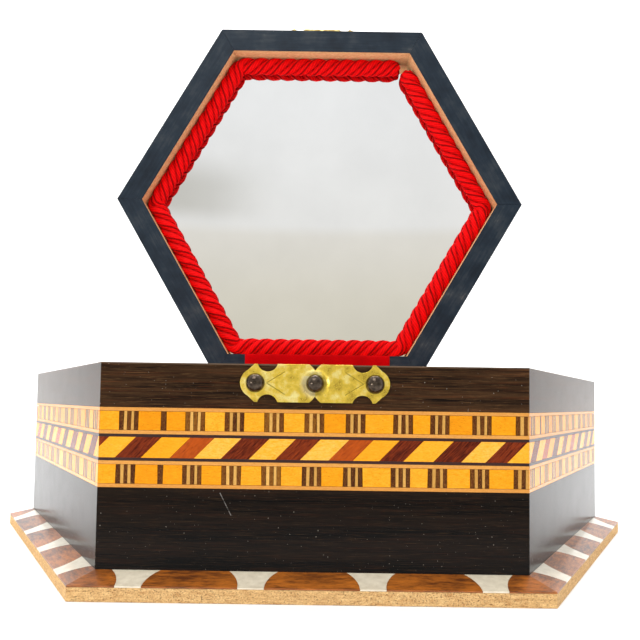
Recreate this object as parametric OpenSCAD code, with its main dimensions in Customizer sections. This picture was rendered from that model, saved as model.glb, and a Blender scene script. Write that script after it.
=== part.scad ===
// Hexagonal inlaid jewellery box with a hinged mirror lid, drawn with the lid standing open.
// Origin: centre of the base board's underside. +Z up, the latch side faces -Y. Millimetres.

/* [Body] */
// Outer side of the hexagonal body
body_side = 70; // [66:1:90]
// Height of the wall boards above the base board
wall_h = 33.5; // [32:0.2:50]
// Thickness of the wall boards and of the lid rails
wall_t = 7.4; // [7:0.2:9]

/* [Base] */
// Thickness of the base board under the walls
base_t = 3.8; // [3.1:0.1:5]
// How far the base board stands out past the walls
base_overhang = 4.9; // [4.5:0.1:5.5]
// Height of the base's outer edge, border veneer included
base_edge_h = 2.5; // [1.6:0.1:2.8]
// Radius of the half discs along the base border
scallop_r = 7.4; // [6.8:0.1:7.6]

/* [Inlay band] */
// Distance from the rim down to the inlay band
band_drop = 7.35; // [7:0.05:8.5]
// Height of one ladder strip
ladder_h = 4.35; // [4:0.05:4.5]
// Height of one ebony string
string_h = 0.45; // [0.4:0.05:0.6]
// Height of the twist strip
twist_h = 3.4; // [3:0.1:4]
// Depth the band is let into the walls
inlay_t = 0.8; // [0.6:0.1:1.2]

/* [Lid] */
// Gap between body rim and lid rim when shut, filled by the folded velvet strip
lid_gap = 0.6; // [0.6:0.05:0.8]
// Height of the lid rails
lid_h = 14; // [13.6:0.2:18]
// Depth of the mirror recess
recess_d = 10.8; // [10.6:0.1:11]
// Thickness of the veneer on the lid's top
top_veneer_t = 0.8; // [0.6:0.1:1.2]

/* [Mirror] */
// Thickness of the mirror glass
mirror_t = 2; // [1.8:0.1:2.2]
// Diameter of the twisted cord round the mirror
cord_d = 5.5; // [5:0.1:5.6]

/* [Hinges] */
// Distance of each hinge from the centre line
hinge_x = 20; // [17:0.5:22]
// Length of each hinge along its pin
hinge_w = 14; // [12:0.5:16]
// Height of each hinge leaf, from the pin's centre
leaf_h = 9.6; // [9:0.2:11]

/* [Latch] */
// Length of the brass latch plates
plate_w = 24.4; // [24:0.2:25]
// Height of the brass latch plates
plate_h = 6.2; // [6:0.1:6.4]
// Thickness of the brass latch plates
plate_t = 0.5; // [0.4:0.05:0.6]

/* [Velvet] */
// Width of the velvet strip that joins lid and body inside
strip_w = 49.4; // [40:0.2:54]
// Thickness of the velvet strip
strip_t = 0.28; // [0.2:0.01:0.29]

/* [Hidden] */
$fn = 48;

// Hexagon measures: flats face -Y and +Y, corners lie on the X axis.
apothem = body_side * cos(30);
inner_apothem = apothem - wall_t;
base_apothem = apothem + base_overhang;
base_side = base_apothem / cos(30);
rim_z = base_t + wall_h;
lid_z = rim_z + lid_gap;
lid_top_z = lid_z + lid_h;
mitre_gap = 0.05;

// Base border veneer
border_t = 0.25;
scallops_per_side = 4;
pitch = base_side / scallops_per_side;
piece_gap = 0.03;

// Inlay band levels, from the rim down
upper_z = rim_z - band_drop - ladder_h;
string_a_z = upper_z - string_h;
twist_z = string_a_z - twist_h;
string_b_z = twist_z - string_h;
lower_z = string_b_z - ladder_h;

// Interior
pad_t = 2;
lining_t = 1.2;
lining_drop = 1.2;
lining_tuck = 10;

// Velvet strip
strip_pocket = 0.3;
strip_rim_back = 0.9;
strip_down = 9;
strip_up = 3;

// Lid
hinge_r = 1.25;
hinge_back = 1.6;
hinge_up = 0.3;
hinge_y = apothem + hinge_back;
hinge_z = lid_z + hinge_up;
open_angle = 90;
rebate_w = 3.7;
mirror_slack = 0.3;
backing_t = 1;
mirror_z = lid_z + recess_d - backing_t - mirror_t;
cord_r = cord_d / 2;
cord_off = 0.35;
cord_path = inner_apothem - cord_off - cord_r;
cord_z = mirror_z - cord_r - 0.02;
cord_bend = 3.1;
cord_run = (cord_path - cord_bend) * tan(30);
cord_end_cut = 1.2;

// Hinges
leaf_t = 0.7;
pin_r = 0.55;
pin_bore_r = 0.6;
leaf_start = 1.35;
web_t = 0.6;
web_reach = 1.7;
knuckle_gap = 0.25;
hinge_nail_x = 4.2;
hinge_nail_z = 6;
shank_slack = 0.02;

// Latch
plate_corner_x = 6.1;
lobe_r = 3.83;
lobe_x = 3.2;
tip_r = 2.4;
nail_x = 9.77;
cut_x = 7.75;
cut_y = 3.55;
cut_r = 1.7;
stud_r = 1.5;
stud_h = 1.5;
stud_z = rim_z - plate_h / 2;
catch_mid_z = lid_z + plate_h / 2;
hasp_axis_up = 3.6;
hasp_axis_out = 1.05;
hasp_y = -apothem - plate_t - hasp_axis_out;
hasp_z = lid_z + hasp_axis_up;
hasp_r = 0.8;
hasp_pin_r = 0.4;
hasp_bore_r = 0.45;
hasp_w = 4.8;
ear_w = 1.3;
ear_gap = 0.2;
tongue_t = 0.6;
tongue_hole_r = 1.85;
tongue_end_r = 3.1;
tongue_reach = hasp_z - stud_z;

// Top inlay
edge_board_w = 7.5;
top_band_w = 4.2;
star_r = 30;
star_valley_r = 15;
tip_r_out = 40;
top_field_a = apothem - edge_board_w - top_band_w;

// Colours
dark_wood = [0.22, 0.14, 0.10];
raw_wood = [0.78, 0.60, 0.38];
amber_wood = [0.93, 0.62, 0.18];
brown_wood = [0.52, 0.30, 0.14];
ebony = [0.08, 0.06, 0.05];
bone = [0.88, 0.86, 0.78];
brass = [0.86, 0.72, 0.36];
steel = [0.35, 0.34, 0.33];
velvet = [0.80, 0.02, 0.05];
glass = [0.85, 0.87, 0.88];
card = [0.60, 0.52, 0.42];

// ---- Shared outlines ----

// A regular hexagon by its apothem, flats towards -Y and +Y
module hexagon(a) {
  circle(r = a / cos(30), $fn = 6);
}

// Plan outline of one mitred board along the -Y side, between two apothems
module board_plan(outer, inner, gap = 0) {
  half_out = outer * tan(30) - gap;
  half_in = inner * tan(30) - gap;
  polygon([[-half_out, -outer], [half_out, -outer], [half_in, -inner], [-half_in, -inner]]);
}

// Turns a piece drawn on the -Y side to side i, counted anticlockwise from above
module on_side(i) {
  rotate([0, 0, 60 * i]) children();
}

// Stands the lid open about the hinge pins' centre line
module opened() {
  translate([0, hinge_y, hinge_z])
    rotate([-open_angle, 0, 0])
      translate([0, -hinge_y, -hinge_z])
        children();
}

// Dome-headed nail along +Z: the head's flat face is at z = 0, the shank points down
module dome_nail(head_r, head_h, shank_r, shank_len) {
  ball = (head_r * head_r + head_h * head_h) / (2 * head_h);
  rotate_extrude() {
    intersection() {
      translate([0, head_h - ball]) circle(r = ball, $fn = 64);
      square([head_r, head_h]);
    }
    translate([0, -shank_len]) square([shank_r, shank_len + 0.1]);
  }
}

// ---- Base ----

// What is cut away above the bevel on one side, the bevel lowered by `drop`
module bevel_waste(drop) {
  out = base_apothem + 1;
  fall = (base_t - base_edge_h) / base_overhang;
  rotate([90, 0, 90])
    linear_extrude(3 * body_side, center = true)
      polygon([
        [-apothem, base_t - drop], [-apothem, base_t + 1], [-out, base_t + 1],
        [-out, base_t - drop - (out - apothem) * fall]
      ]);
}

// Base hexagon with its bevelled top
module bevelled_board(drop) {
  difference() {
    linear_extrude(base_t) hexagon(base_apothem);
    for (i = [0:5])
      on_side(i) bevel_waste(drop);
  }
}

// The thin veneer layer on the bevel, outside the wall foot
module border_layer() {
  difference() {
    bevelled_board(0);
    bevelled_board(border_t);
  }
}

// Half discs along the outer edge: one on every corner and three between
module scallop_discs(grow) {
  for (i = [0:5])
    on_side(i)
      for (k = [0:scallops_per_side - 1])
        translate([-base_side / 2 + k * pitch, -base_apothem])
          circle(r = scallop_r + grow);
}

module base_board() {
  color(raw_wood) bevelled_board(border_t);
}

module base_scallops() {
  color(brown_wood)
    intersection() {
      border_layer();
      linear_extrude(base_t) scallop_discs(0);
    }
}

module base_pearl_fillers() {
  color(bone)
    difference() {
      border_layer();
      translate([0, 0, -1]) linear_extrude(base_t + 2) scallop_discs(piece_gap);
    }
}

// ---- Walls and their inlay ----

// One mitred wall board with the groove for the inlay band
module wall_board(i) {
  groove_h = upper_z + ladder_h - lower_z;
  on_side(i)
    difference() {
      translate([0, 0, base_t])
        linear_extrude(wall_h)
          board_plan(apothem, inner_apothem);
      translate([-apothem, -apothem - 1, lower_z])
        cube([2 * apothem, inlay_t + 1, groove_h]);
      if (i == 0) keeper_holes();
      if (i == 3) hinge_holes(-1);
    }
}

// Nail and rivet holes behind the keeper plate
module keeper_holes() {
  for (x = [-nail_x, 0, nail_x])
    translate([x, -apothem, stud_z])
      rotate([90, 0, 0])
        cylinder(r = 0.55 + shank_slack, h = 9, center = true);
}

// Nail holes behind the hinge leaves, drawn on the -Y side: the body's for side -1, the lid's for +1
module hinge_holes(side) {
  for (s = [-1, 1], k = [-1, 1])
    translate([s * hinge_x + k * hinge_nail_x, -apothem, hinge_z + side * hinge_nail_z])
      rotate([90, 0, 0])
        cylinder(r = 0.45 + shank_slack, h = 9, center = true);
}

module wall_front() { color(dark_wood) wall_board(0); }
module wall_front_right() { color(dark_wood) wall_board(1); }
module wall_rear_right() { color(dark_wood) wall_board(2); }
module wall_rear() { color(dark_wood) wall_board(3); }
module wall_rear_left() { color(dark_wood) wall_board(4); }
module wall_front_left() { color(dark_wood) wall_board(5); }

// Six mitred strips let into the groove
module strip_ring(z, h) {
  for (i = [0:5])
    on_side(i)
      translate([0, 0, z])
        linear_extrude(h)
          board_plan(apothem, apothem - inlay_t, mitre_gap / 2);
}

module ladder_strips_upper() { color(amber_wood) strip_ring(upper_z, ladder_h); }
module ladder_strips_lower() { color(amber_wood) strip_ring(lower_z, ladder_h); }
module twist_strips() { color(brown_wood) strip_ring(twist_z, twist_h); }
module ebony_strings() {
  color(ebony) {
    strip_ring(string_a_z, string_h);
    strip_ring(string_b_z, string_h);
  }
}

// ---- Interior ----

module floor_pad() {
  color(velvet)
    translate([0, 0, base_t])
      linear_extrude(pad_t)
        hexagon(inner_apothem - 0.1);
}

// Velvet-covered card against each wall, with a pocket behind the rear one for the hinge strip
module wall_lining() {
  bottom_z = base_t + pad_t;
  top_z = rim_z - lining_drop;
  color(velvet)
    difference() {
      for (i = [0:5])
        on_side(i)
          translate([0, 0, bottom_z])
            linear_extrude(top_z - bottom_z)
              board_plan(inner_apothem, inner_apothem - lining_t, mitre_gap / 2);
      translate([-strip_w / 2 - 0.2, inner_apothem - strip_pocket, top_z - lining_tuck])
        cube([strip_w + 0.4, strip_pocket + 1, lining_tuck + 1]);
    }
}

// ---- Butt hinges ----

// One leaf: plate, web and knuckles. side -1 is the body's leaf, +1 the lid's.
module hinge_leaf(x, side, spans, bore_r) {
  difference() {
    union() {
      translate([x - hinge_w / 2, apothem, hinge_z + (side > 0 ? leaf_start : -leaf_h)])
        cube([hinge_w, leaf_t, leaf_h - leaf_start]);
      for (s = spans) {
        translate([x + s[0], hinge_y, hinge_z])
          rotate([0, 90, 0])
            cylinder(r = hinge_r, h = s[1] - s[0]);
        translate([x + s[0], hinge_y - hinge_r, hinge_z + (side > 0 ? 0 : -web_reach)])
          cube([s[1] - s[0], web_t, web_reach]);
      }
    }
    translate([x - hinge_w, hinge_y, hinge_z])
      rotate([0, 90, 0])
        cylinder(r = bore_r, h = 2 * hinge_w);
    for (k = [-1, 1])
      translate([x + k * hinge_nail_x, apothem, hinge_z + side * hinge_nail_z])
        rotate([90, 0, 0])
          cylinder(r = 0.45 + shank_slack, h = 9, center = true);
  }
}

middle_half = hinge_w / 6;
end_spans = [[-hinge_w / 2, -middle_half - knuckle_gap], [middle_half + knuckle_gap, hinge_w / 2]];
middle_spans = [[-middle_half, middle_half]];

module hinge_leaf_box_left() { color(brass) hinge_leaf(-hinge_x, -1, end_spans, pin_r); }
module hinge_leaf_box_right() { color(brass) hinge_leaf(hinge_x, -1, end_spans, pin_r); }
module hinge_leaf_lid_left() { color(brass) opened() hinge_leaf(-hinge_x, 1, middle_spans, pin_bore_r); }
module hinge_leaf_lid_right() { color(brass) opened() hinge_leaf(hinge_x, 1, middle_spans, pin_bore_r); }

module hinge_pins() {
  color(steel)
    for (s = [-1, 1])
      translate([s * hinge_x - hinge_w / 2 - 0.2, hinge_y, hinge_z])
        rotate([0, 90, 0])
          cylinder(r = pin_r, h = hinge_w + 0.4);
}

// Four small dome nails through a pair of leaves
module hinge_nails(side) {
  for (s = [-1, 1], k = [-1, 1])
    translate([s * hinge_x + k * hinge_nail_x, apothem + leaf_t, hinge_z + side * hinge_nail_z])
      rotate([-90, 0, 0])
        dome_nail(1, 0.6, 0.45, 4);
}

module hinge_nails_box() { color(brass) hinge_nails(-1); }
module hinge_nails_lid() { color(brass) opened() hinge_nails(1); }

// ---- Latch ----

// Stamped plate outline: two leaf lobes that meet in V notches, necks, and pointed nail ends
module plate_outline() {
  for (m = [0, 1])
    mirror([m, 0])
      difference() {
        union() {
          intersection() {
            translate([-plate_corner_x, -plate_h / 2]) square([plate_corner_x + 0.05, plate_h]);
            union() {
              translate([-lobe_x, 0]) circle(r = lobe_r);
              translate([-plate_corner_x, -plate_h / 2]) square([plate_corner_x - lobe_x, plate_h]);
            }
          }
          translate([-nail_x, -plate_h / 2]) square([nail_x - plate_corner_x + 0.1, plate_h]);
          translate([-plate_w / 2 + tip_r, 0]) circle(r = tip_r);
          polygon([
            [-nail_x - 0.1, -plate_h / 2], [-nail_x + 2, -plate_h / 3], [-nail_x + 2, plate_h / 3],
            [-nail_x - 0.1, plate_h / 2], [-plate_w / 2 + 0.7, 1.6], [-plate_w / 2 + 0.7, -1.6]
          ]);
        }
        for (j = [-1, 1])
          translate([-cut_x, j * cut_y]) circle(r = cut_r);
        translate([-nail_x, 0]) circle(r = 0.55 + shank_slack);
      }
}

// A plate standing against the front, its middle at height z
module plate_at(z) {
  translate([0, -apothem, z])
    rotate([90, 0, 0])
      linear_extrude(plate_t)
        children();
}

module keeper_plate() {
  color(brass)
    plate_at(stud_z)
      difference() {
        plate_outline();
        circle(r = 0.55 + shank_slack);
      }
}

// The dome stud that the hasp's eye drops over, riveted through the keeper plate
module keeper_stud() {
  color(brass)
    translate([0, -apothem - plate_t, stud_z])
      rotate([90, 0, 0])
        dome_nail(stud_r, stud_h, 0.55, 4);
}

// Two steel dome nails through the ends of a plate
module plate_nails(z) {
  for (s = [-1, 1])
    translate([s * nail_x, -apothem - plate_t, z])
      rotate([90, 0, 0])
        dome_nail(1.58, 1.35, 0.55, 4);
}

module keeper_nails() { color(steel) plate_nails(stud_z); }
module catch_nails() { color(steel) opened() plate_nails(catch_mid_z); }

// The lid's plate carries two ears that hold the hasp's pin
module catch_plate() {
  ear_in = hasp_w / 2 + ear_gap;
  color(brass)
    opened() {
      difference() {
        union() {
          plate_at(catch_mid_z) plate_outline();
          for (s = [-1, 1])
            translate([s > 0 ? ear_in : -ear_in - ear_w, 0, 0]) {
              translate([0, hasp_y, hasp_z])
                rotate([0, 90, 0])
                  cylinder(r = hasp_r, h = ear_w);
              translate([0, hasp_y, hasp_z - hasp_r])
                cube([ear_w, hasp_axis_out + plate_t / 2, 2 * hasp_r]);
            }
        }
        translate([-hasp_w, hasp_y, hasp_z])
          rotate([0, 90, 0])
            cylinder(r = hasp_pin_r, h = 2 * hasp_w);
      }
    }
}

module hasp_pin() {
  pin_half = hasp_w / 2 + ear_gap + ear_w + 0.1;
  color(steel)
    opened()
      translate([-pin_half, hasp_y, hasp_z])
        rotate([0, 90, 0])
          cylinder(r = hasp_pin_r, h = 2 * pin_half);
}

// Hasp folded back flat along the lid: knuckle, tongue with the eye, rolled finger lip
module hasp() {
  color(brass)
    opened()
      difference() {
        union() {
          translate([-hasp_w / 2, hasp_y, hasp_z])
            rotate([0, 90, 0])
              cylinder(r = hasp_r, h = hasp_w);
          translate([0, hasp_y + tongue_t / 2, hasp_z])
            rotate([90, 0, 0])
              linear_extrude(tongue_t) {
                translate([-hasp_w / 2, 0]) square([hasp_w, tongue_reach]);
                translate([0, tongue_reach]) circle(r = tongue_end_r);
              }
          translate([-1.6, hasp_y + 0.1, hasp_z + tongue_reach + tongue_end_r - 0.3])
            rotate([0, 90, 0])
              cylinder(r = 0.5, h = 3.2);
        }
        translate([-hasp_w, hasp_y, hasp_z])
          rotate([0, 90, 0])
            cylinder(r = hasp_bore_r, h = 2 * hasp_w);
        translate([0, hasp_y, hasp_z + tongue_reach])
          rotate([90, 0, 0])
            cylinder(r = tongue_hole_r, h = 3, center = true);
      }
}

// ---- Lid frame ----

// One mitred rail: full height outside, with a rebate inside for the top panel
module lid_rail(i) {
  opened()
    on_side(i)
      difference() {
        union() {
          translate([0, 0, lid_z])
            linear_extrude(recess_d)
              board_plan(apothem, inner_apothem);
          translate([0, 0, lid_z])
            linear_extrude(lid_h)
              board_plan(apothem, apothem - rebate_w);
        }
        if (i == 0)
          for (s = [-1, 1])
            translate([s * nail_x, -apothem, catch_mid_z])
              rotate([90, 0, 0])
                cylinder(r = 0.55 + shank_slack, h = 9, center = true);
        if (i == 3) hinge_holes(1);
      }
}

module lid_rail_front() { color(dark_wood) lid_rail(0); }
module lid_rail_front_right() { color(dark_wood) lid_rail(1); }
module lid_rail_rear_right() { color(dark_wood) lid_rail(2); }
module lid_rail_rear() { color(dark_wood) lid_rail(3); }
module lid_rail_rear_left() { color(dark_wood) lid_rail(4); }
module lid_rail_front_left() { color(dark_wood) lid_rail(5); }

module lid_panel() {
  color(raw_wood)
    opened()
      translate([0, 0, lid_z + recess_d])
        linear_extrude(lid_h - recess_d)
          hexagon(apothem - rebate_w);
}

module mirror_backing() {
  color(card)
    opened()
      translate([0, 0, mirror_z + mirror_t])
        linear_extrude(backing_t)
          hexagon(inner_apothem - mirror_slack);
}

module mirror_glass() {
  color(glass)
    opened()
      translate([0, 0, mirror_z])
        linear_extrude(mirror_t)
          hexagon(inner_apothem - mirror_slack);
}

// Twisted cord glued round the recess: one tube whose two ends stop short of each other at a corner.
// Each station is [x, y, direction of the bend's outside], from one end round to the other.
cord_corner_d = (cord_path - cord_bend) / cos(30);
cord_stations = concat(
  [[
    cord_path * cos(-30) + (cord_run - cord_end_cut) * cos(-120),
    cord_path * sin(-30) + (cord_run - cord_end_cut) * sin(-120),
    -30
  ]],
  [for (k = [0:4], a = [-30:10:30]) [
    cord_corner_d * cos(60 * k) + cord_bend * cos(60 * k + a),
    cord_corner_d * sin(60 * k) + cord_bend * sin(60 * k + a),
    60 * k + a
  ]],
  [[cord_run, -cord_path, -90]]
);

module mirror_cord() {
  sides = 16;
  last = len(cord_stations) - 1;
  skin = [for (s = cord_stations, t = [0:sides - 1]) [
    s[0] + cord_r * cos(360 * t / sides) * cos(s[2]),
    s[1] + cord_r * cos(360 * t / sides) * sin(s[2]),
    cord_r * sin(360 * t / sides)
  ]];
  walls = [for (k = [0:last - 1], t = [0:sides - 1]) [
    k * sides + t, k * sides + (t + 1) % sides,
    (k + 1) * sides + (t + 1) % sides, (k + 1) * sides + t
  ]];
  caps = [
    [for (t = [sides - 1:-1:0]) t],
    [for (t = [0:sides - 1]) last * sides + t]
  ];
  color(velvet)
    opened()
      translate([0, 0, cord_z])
        polyhedron(points = skin, faces = concat(walls, caps));
}

// Strip cross-section, drawn in Y and Z at the open pose: recess edge, rail face, gap, body rim, pocket
module velvet_hinge_strip() {
  face_y = hinge_y - hinge_up;
  bottom = hinge_z + hinge_back;
  top = bottom + wall_t;
  rear_y = apothem - strip_rim_back;
  // The velvet leaves the rail and the rim early enough to pass the hinge knuckles
  strip_turn = 0.9;
  color(velvet)
    translate([-strip_w / 2, 0, 0])
      rotate([90, 0, 90])
        linear_extrude(strip_w)
          polygon([
            [face_y + strip_up, top], [face_y + strip_up, top + strip_t],
            [face_y - strip_t, top + strip_t], [face_y - strip_t, bottom + strip_turn],
            [rear_y, rim_z + strip_t], [inner_apothem - strip_t, rim_z + strip_t],
            [inner_apothem - strip_t, rim_z - strip_down], [inner_apothem, rim_z - strip_down],
            [inner_apothem, rim_z], [rear_y + strip_t, rim_z],
            [face_y, bottom + strip_turn], [face_y, top]
          ]);
}

// ---- Lid top inlay ----

module top_layer() {
  opened()
    translate([0, 0, lid_top_z])
      linear_extrude(top_veneer_t)
        children();
}

module top_edge_boards() {
  color(dark_wood)
    top_layer()
      for (i = [0:5])
        on_side(i) board_plan(apothem, apothem - edge_board_w, mitre_gap / 2);
}

module top_band() {
  color(amber_wood)
    top_layer()
      for (i = [0:5])
        on_side(i)
          board_plan(apothem - edge_board_w, apothem - edge_board_w - top_band_w, mitre_gap / 2);
}

// One half of a star ray on the given side of the ray's long line, shrunk to leave a glue line
module half_ray(side, shrink = 1) {
  middle = [star_r * 0.44, side * star_r * 0.118];
  translate(middle)
    scale(shrink)
      translate(-middle)
        polygon([
          [0, 0], [star_r, 0], [star_valley_r * cos(30), side * star_valley_r * sin(30)]
        ]);
}

// Rhombus between two rays, from the valley out to the tip
module star_tip(shrink = 1) {
  flat_x = star_r * cos(30);
  translate([flat_x, 0])
    scale(shrink)
      translate([-flat_x, 0])
        polygon([
          [star_valley_r, 0], [flat_x, -star_r * sin(30)], [tip_r_out, 0], [flat_x, star_r * sin(30)]
        ]);
}

module top_star_light() {
  color(bone)
    top_layer()
      for (i = [0:5])
        rotate(60 * i) half_ray(1, 0.985);
}

module top_star_dark() {
  color(ebony)
    top_layer()
      for (i = [0:5])
        rotate(60 * i) half_ray(-1, 0.985);
}

module top_star_tips() {
  color(amber_wood)
    top_layer()
      for (i = [0:5])
        rotate(30 + 60 * i) star_tip(0.994);
}

module top_field() {
  color(brown_wood)
    top_layer()
      difference() {
        hexagon(top_field_a);
        for (i = [0:5]) {
          rotate(30 + 60 * i) star_tip(1.004);
          rotate(60 * i) half_ray(1, 1.01);
          rotate(60 * i) half_ray(-1, 1.01);
        }
        circle(r = 1);
      }
}

// ---- Assembly ----

base_board();
base_scallops();
base_pearl_fillers();
wall_front();
wall_front_right();
wall_rear_right();
wall_rear();
wall_rear_left();
wall_front_left();
ladder_strips_upper();
ladder_strips_lower();
twist_strips();
ebony_strings();
floor_pad();
wall_lining();
hinge_leaf_box_left();
hinge_leaf_box_right();
hinge_pins();
hinge_nails_box();
keeper_plate();
keeper_nails();
keeper_stud();
velvet_hinge_strip();
lid_rail_front();
lid_rail_front_right();
lid_rail_rear_right();
lid_rail_rear();
lid_rail_rear_left();
lid_rail_front_left();
lid_panel();
mirror_backing();
mirror_glass();
mirror_cord();
hinge_leaf_lid_left();
hinge_leaf_lid_right();
hinge_nails_lid();
catch_plate();
catch_nails();
hasp_pin();
top_edge_boards();
top_band();
top_field();
top_star_light();
top_star_dark();
top_star_tips();
hasp();
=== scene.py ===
# A hexagonal marquetry jewellery box with a mirror in its lid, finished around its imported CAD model.
# Lengths inside the sections are millimetres, because the box is made to them; MM turns them to metres.

import math
import random

import bpy
from mathutils import Matrix, Vector


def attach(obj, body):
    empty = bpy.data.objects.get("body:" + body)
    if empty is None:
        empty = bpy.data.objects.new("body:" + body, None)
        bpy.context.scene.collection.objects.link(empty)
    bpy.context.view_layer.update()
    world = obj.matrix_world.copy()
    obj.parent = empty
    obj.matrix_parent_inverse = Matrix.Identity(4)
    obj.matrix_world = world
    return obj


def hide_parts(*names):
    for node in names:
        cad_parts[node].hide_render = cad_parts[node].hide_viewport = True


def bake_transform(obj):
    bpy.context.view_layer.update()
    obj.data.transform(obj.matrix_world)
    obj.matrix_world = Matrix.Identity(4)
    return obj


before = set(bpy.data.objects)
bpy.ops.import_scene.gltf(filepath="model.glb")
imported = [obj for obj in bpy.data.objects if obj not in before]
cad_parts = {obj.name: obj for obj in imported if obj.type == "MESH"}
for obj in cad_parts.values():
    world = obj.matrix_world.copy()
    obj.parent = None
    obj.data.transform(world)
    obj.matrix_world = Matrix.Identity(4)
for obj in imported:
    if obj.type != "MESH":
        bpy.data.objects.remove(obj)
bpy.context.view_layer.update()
MM = 0.001
scene = bpy.context.scene

# ---- Table and room ----
# The box stands on a pale table that sweeps up behind it; well in front of the box the table is
# painted grey, as painted shade. The room is white at the back and sides and dimmer towards the
# front. Three soft lamps light it: high in front, low at the left, and high behind.

EYE = Vector((0.56, -173.0, 31.24)) * MM
EYE_YAW, EYE_PITCH, EYE_ROLL = (math.radians(a) for a in (0.10, 2.85, 0.84))
SWEEP_NEAR, SWEEP_FAR, SWEEP_RISE, SWEEP_HALF = -900, 520, 700, 1100
SWEEP_BEND = 220

forward = Vector((
    math.sin(EYE_YAW) * math.cos(EYE_PITCH),
    math.cos(EYE_YAW) * math.cos(EYE_PITCH),
    math.sin(EYE_PITCH),
))
level_right = forward.cross(Vector((0, 0, 1))).normalized()
level_up = level_right.cross(forward)
right = level_right * math.cos(EYE_ROLL) + level_up * math.sin(EYE_ROLL)
up = right.cross(forward)
camera_data = bpy.data.cameras.new("eye")
camera_data.lens = 38.72
camera_data.sensor_width = 36
camera_data.shift_y = 0.0745
camera_data.clip_start = 0.005
camera = bpy.data.objects.new("eye", camera_data)
camera.matrix_world = Matrix((
    (right.x, up.x, -forward.x, EYE.x),
    (right.y, up.y, -forward.y, EYE.y),
    (right.z, up.z, -forward.z, EYE.z),
    (0, 0, 0, 1),
))
scene.collection.objects.link(camera)
scene.camera = camera
scene.view_settings.view_transform = "Standard"


class Socket:
    """One node output. Arithmetic on it adds Math nodes."""

    def __init__(self, finish, output):
        self.finish = finish
        self.output = output

    def maths(self, operation, *values):
        return self.finish.add("ShaderNodeMath", {"operation": operation}, dict(enumerate(values)))

    def __add__(self, other):
        return self.maths("ADD", self, other)

    def __radd__(self, other):
        return self.maths("ADD", other, self)

    def __sub__(self, other):
        return self.maths("SUBTRACT", self, other)

    def __rsub__(self, other):
        return self.maths("SUBTRACT", other, self)

    def __mul__(self, other):
        return self.maths("MULTIPLY", self, other)

    def __rmul__(self, other):
        return self.maths("MULTIPLY", other, self)

    def __truediv__(self, other):
        return self.maths("DIVIDE", self, other)

    def __pow__(self, other):
        return self.maths("POWER", self, other)

    def __gt__(self, other):
        return self.maths("GREATER_THAN", self, other)

    def __lt__(self, other):
        return self.maths("LESS_THAN", self, other)

    def between(self, low, high):
        """0 below low, 1 above high, smooth in between."""
        return self.finish.add(
            "ShaderNodeMapRange",
            {"interpolation_type": "SMOOTHSTEP"},
            {"Value": self, "From Min": low, "From Max": high},
        )


class Finish:
    """A node tree for one finish, or for the room's light."""

    def __init__(self, owner):
        owner.use_nodes = True
        self.owner = owner
        self.tree = owner.node_tree
        self.tree.nodes.clear()

    def add(self, kind, settings=None, inputs=None, out=0):
        node = self.tree.nodes.new(kind)
        for name, value in (settings or {}).items():
            if name == "stops":
                ramp = node.color_ramp
                while len(ramp.elements) < len(value):
                    ramp.elements.new(1)
                for element, (place, colour) in zip(ramp.elements, value):
                    element.position = place
                    element.color = (*colour, 1)
            else:
                setattr(node, name, value)
        for name, value in (inputs or {}).items():
            self.feed(node.inputs[name], value)
        return Socket(self, node.outputs[out]) if len(node.outputs) else node

    def feed(self, socket, value):
        if isinstance(value, Socket):
            self.tree.links.new(value.output, socket)
        elif isinstance(value, (tuple, list)) and len(value) == 3 and socket.type == "RGBA":
            socket.default_value = (*value, 1)
        else:
            socket.default_value = value

    def place(self, stretch=(1, 1, 1)):
        """Where a point of the piece is, in millimetres, each axis scaled by stretch."""
        spot = self.add("ShaderNodeTexCoord", out="Object")
        scale = tuple(s / MM for s in stretch)
        return self.add(
            "ShaderNodeVectorMath", {"operation": "MULTIPLY"}, {0: spot, 1: scale}
        )

    def noise(self, vector, scale, detail=3, rough=0.5):
        return self.add(
            "ShaderNodeTexNoise", None,
            {"Vector": vector, "Scale": scale, "Detail": detail, "Roughness": rough},
        )

    def ramp(self, value, *stops):
        return self.add("ShaderNodeValToRGB", {"stops": stops}, {0: value})

    def mix(self, factor, low, high, blend="MIX"):
        """Two colours mixed; the sockets are the colour ones of a Mix node."""
        node = self.tree.nodes.new("ShaderNodeMix")
        node.data_type = "RGBA"
        node.blend_type = blend
        for index, value in ((0, factor), (6, low), (7, high)):
            self.feed(node.inputs[index], value)
        return Socket(self, node.outputs[2])

    def bump(self, height, depth):
        """A surface normal from a height of 0 to 1, depth millimetres deep."""
        return self.add(
            "ShaderNodeBump", None, {"Height": height, "Distance": depth * MM, "Strength": 1}
        )

    def surface(self, **sockets):
        """The shader itself: constants and links by socket name, with _ for a space."""
        inputs = {name.replace("_", " "): value for name, value in sockets.items()}
        shader = self.add("ShaderNodeBsdfPrincipled", None, inputs)
        self.add("ShaderNodeOutputMaterial", None, {"Surface": shader})
        return self.owner


def colour(red, green, blue):
    """A colour given as screen values from 0 to 255, as the shader's linear numbers."""
    return tuple(
        c / 12.92 if c <= 0.04045 else ((c + 0.055) / 1.055) ** 2.4
        for c in (red / 255, green / 255, blue / 255)
    )


def link_mesh(name, verts, faces, smooth=False):
    """A new mesh object from points in millimetres."""
    mesh = bpy.data.meshes.new(name)
    mesh.from_pydata([[c * MM for c in v] for v in verts], [], faces)
    mesh.validate()
    if smooth:
        mesh.polygons.foreach_set("use_smooth", [True] * len(mesh.polygons))
    piece = bpy.data.objects.new(name, mesh)
    scene.collection.objects.link(piece)
    return piece


def paint(piece, material):
    piece.data.materials.clear()
    piece.data.materials.append(material)


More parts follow.
